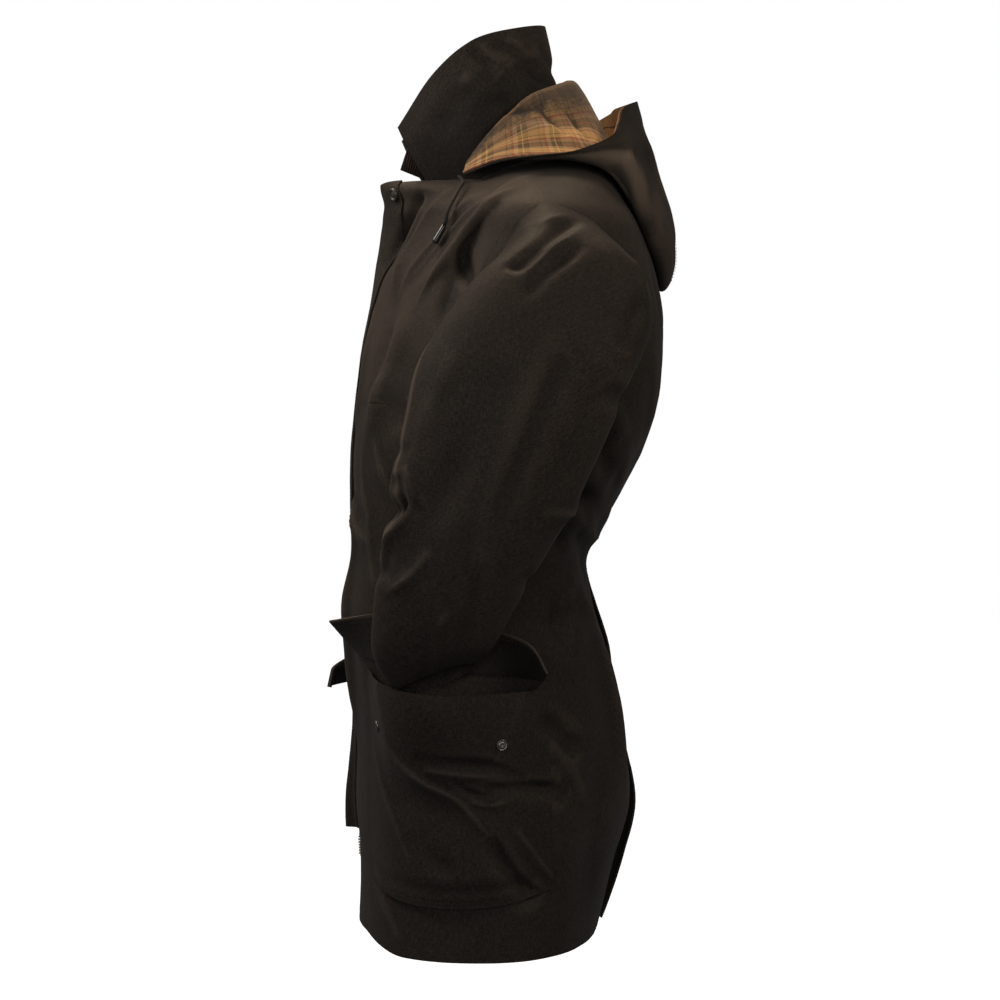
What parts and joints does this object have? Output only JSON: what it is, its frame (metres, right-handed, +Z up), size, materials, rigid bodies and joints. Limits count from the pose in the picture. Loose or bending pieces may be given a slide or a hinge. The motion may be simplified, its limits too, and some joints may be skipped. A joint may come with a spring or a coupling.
{
  "type": "hooded wax jacket",
  "caption": "Waxed cotton jacket in worn form: raised collar, hood laid back with check lining, bellows pockets, storm flap over a zip, left cuff in its pocket",
  "frame": {"origin": "the middle of the neck base, where the wearer's shoulders carry the jacket", "axes": "+Z up, -Y the front of the jacket, +X the wearer's left"},
  "size_m": [0.6559, 0.38, 0.964],
  "materials": {
    "wax_cotton": "waxed, dull sheen",
    "check_lining": "woven check, matte",
    "corduroy": "ribbed nap",
    "zip_tape": "matte woven tape",
    "zip_brass": "satin",
    "horn_button": "semi-gloss",
    "stud_metal": "dark satin",
    "cord_cotton": "braided, matte",
    "cord_plastic": "gloss"
  },
  "bodies": {
    "root": {"left_front": "wax_cotton", "right_front": "wax_cotton", "back_left": "wax_cotton", "back_right": "wax_cotton", "left_sleeve": "wax_cotton", "right_sleeve": "wax_cotton", "collar": "wax_cotton", "collar_facing": "corduroy", "throat_tab": "corduroy", "hood_left": "wax_cotton", "hood_right": "wax_cotton", "hood_lining_left": "check_lining", "hood_lining_right": "check_lining", "left_pocket": "wax_cotton", "right_pocket": "wax_cotton", "left_flap": "wax_cotton", "right_flap": "wax_cotton", "storm_flap": "wax_cotton", "zip_left": "zip_tape", "zip_right": "zip_tape", "teeth_left": "zip_brass", "teeth_right": "zip_brass", "button": "horn_button", "stud_left_front": "stud_metal", "stud_left_rear": "stud_metal", "stud_right_front": "stud_metal", "stud_right_rear": "stud_metal", "hood_cord_left": "cord_cotton", "hood_cord_right": "cord_cotton", "cord_end_left": "cord_plastic", "cord_end_right": "cord_plastic"}
  },
  "joints": []
}
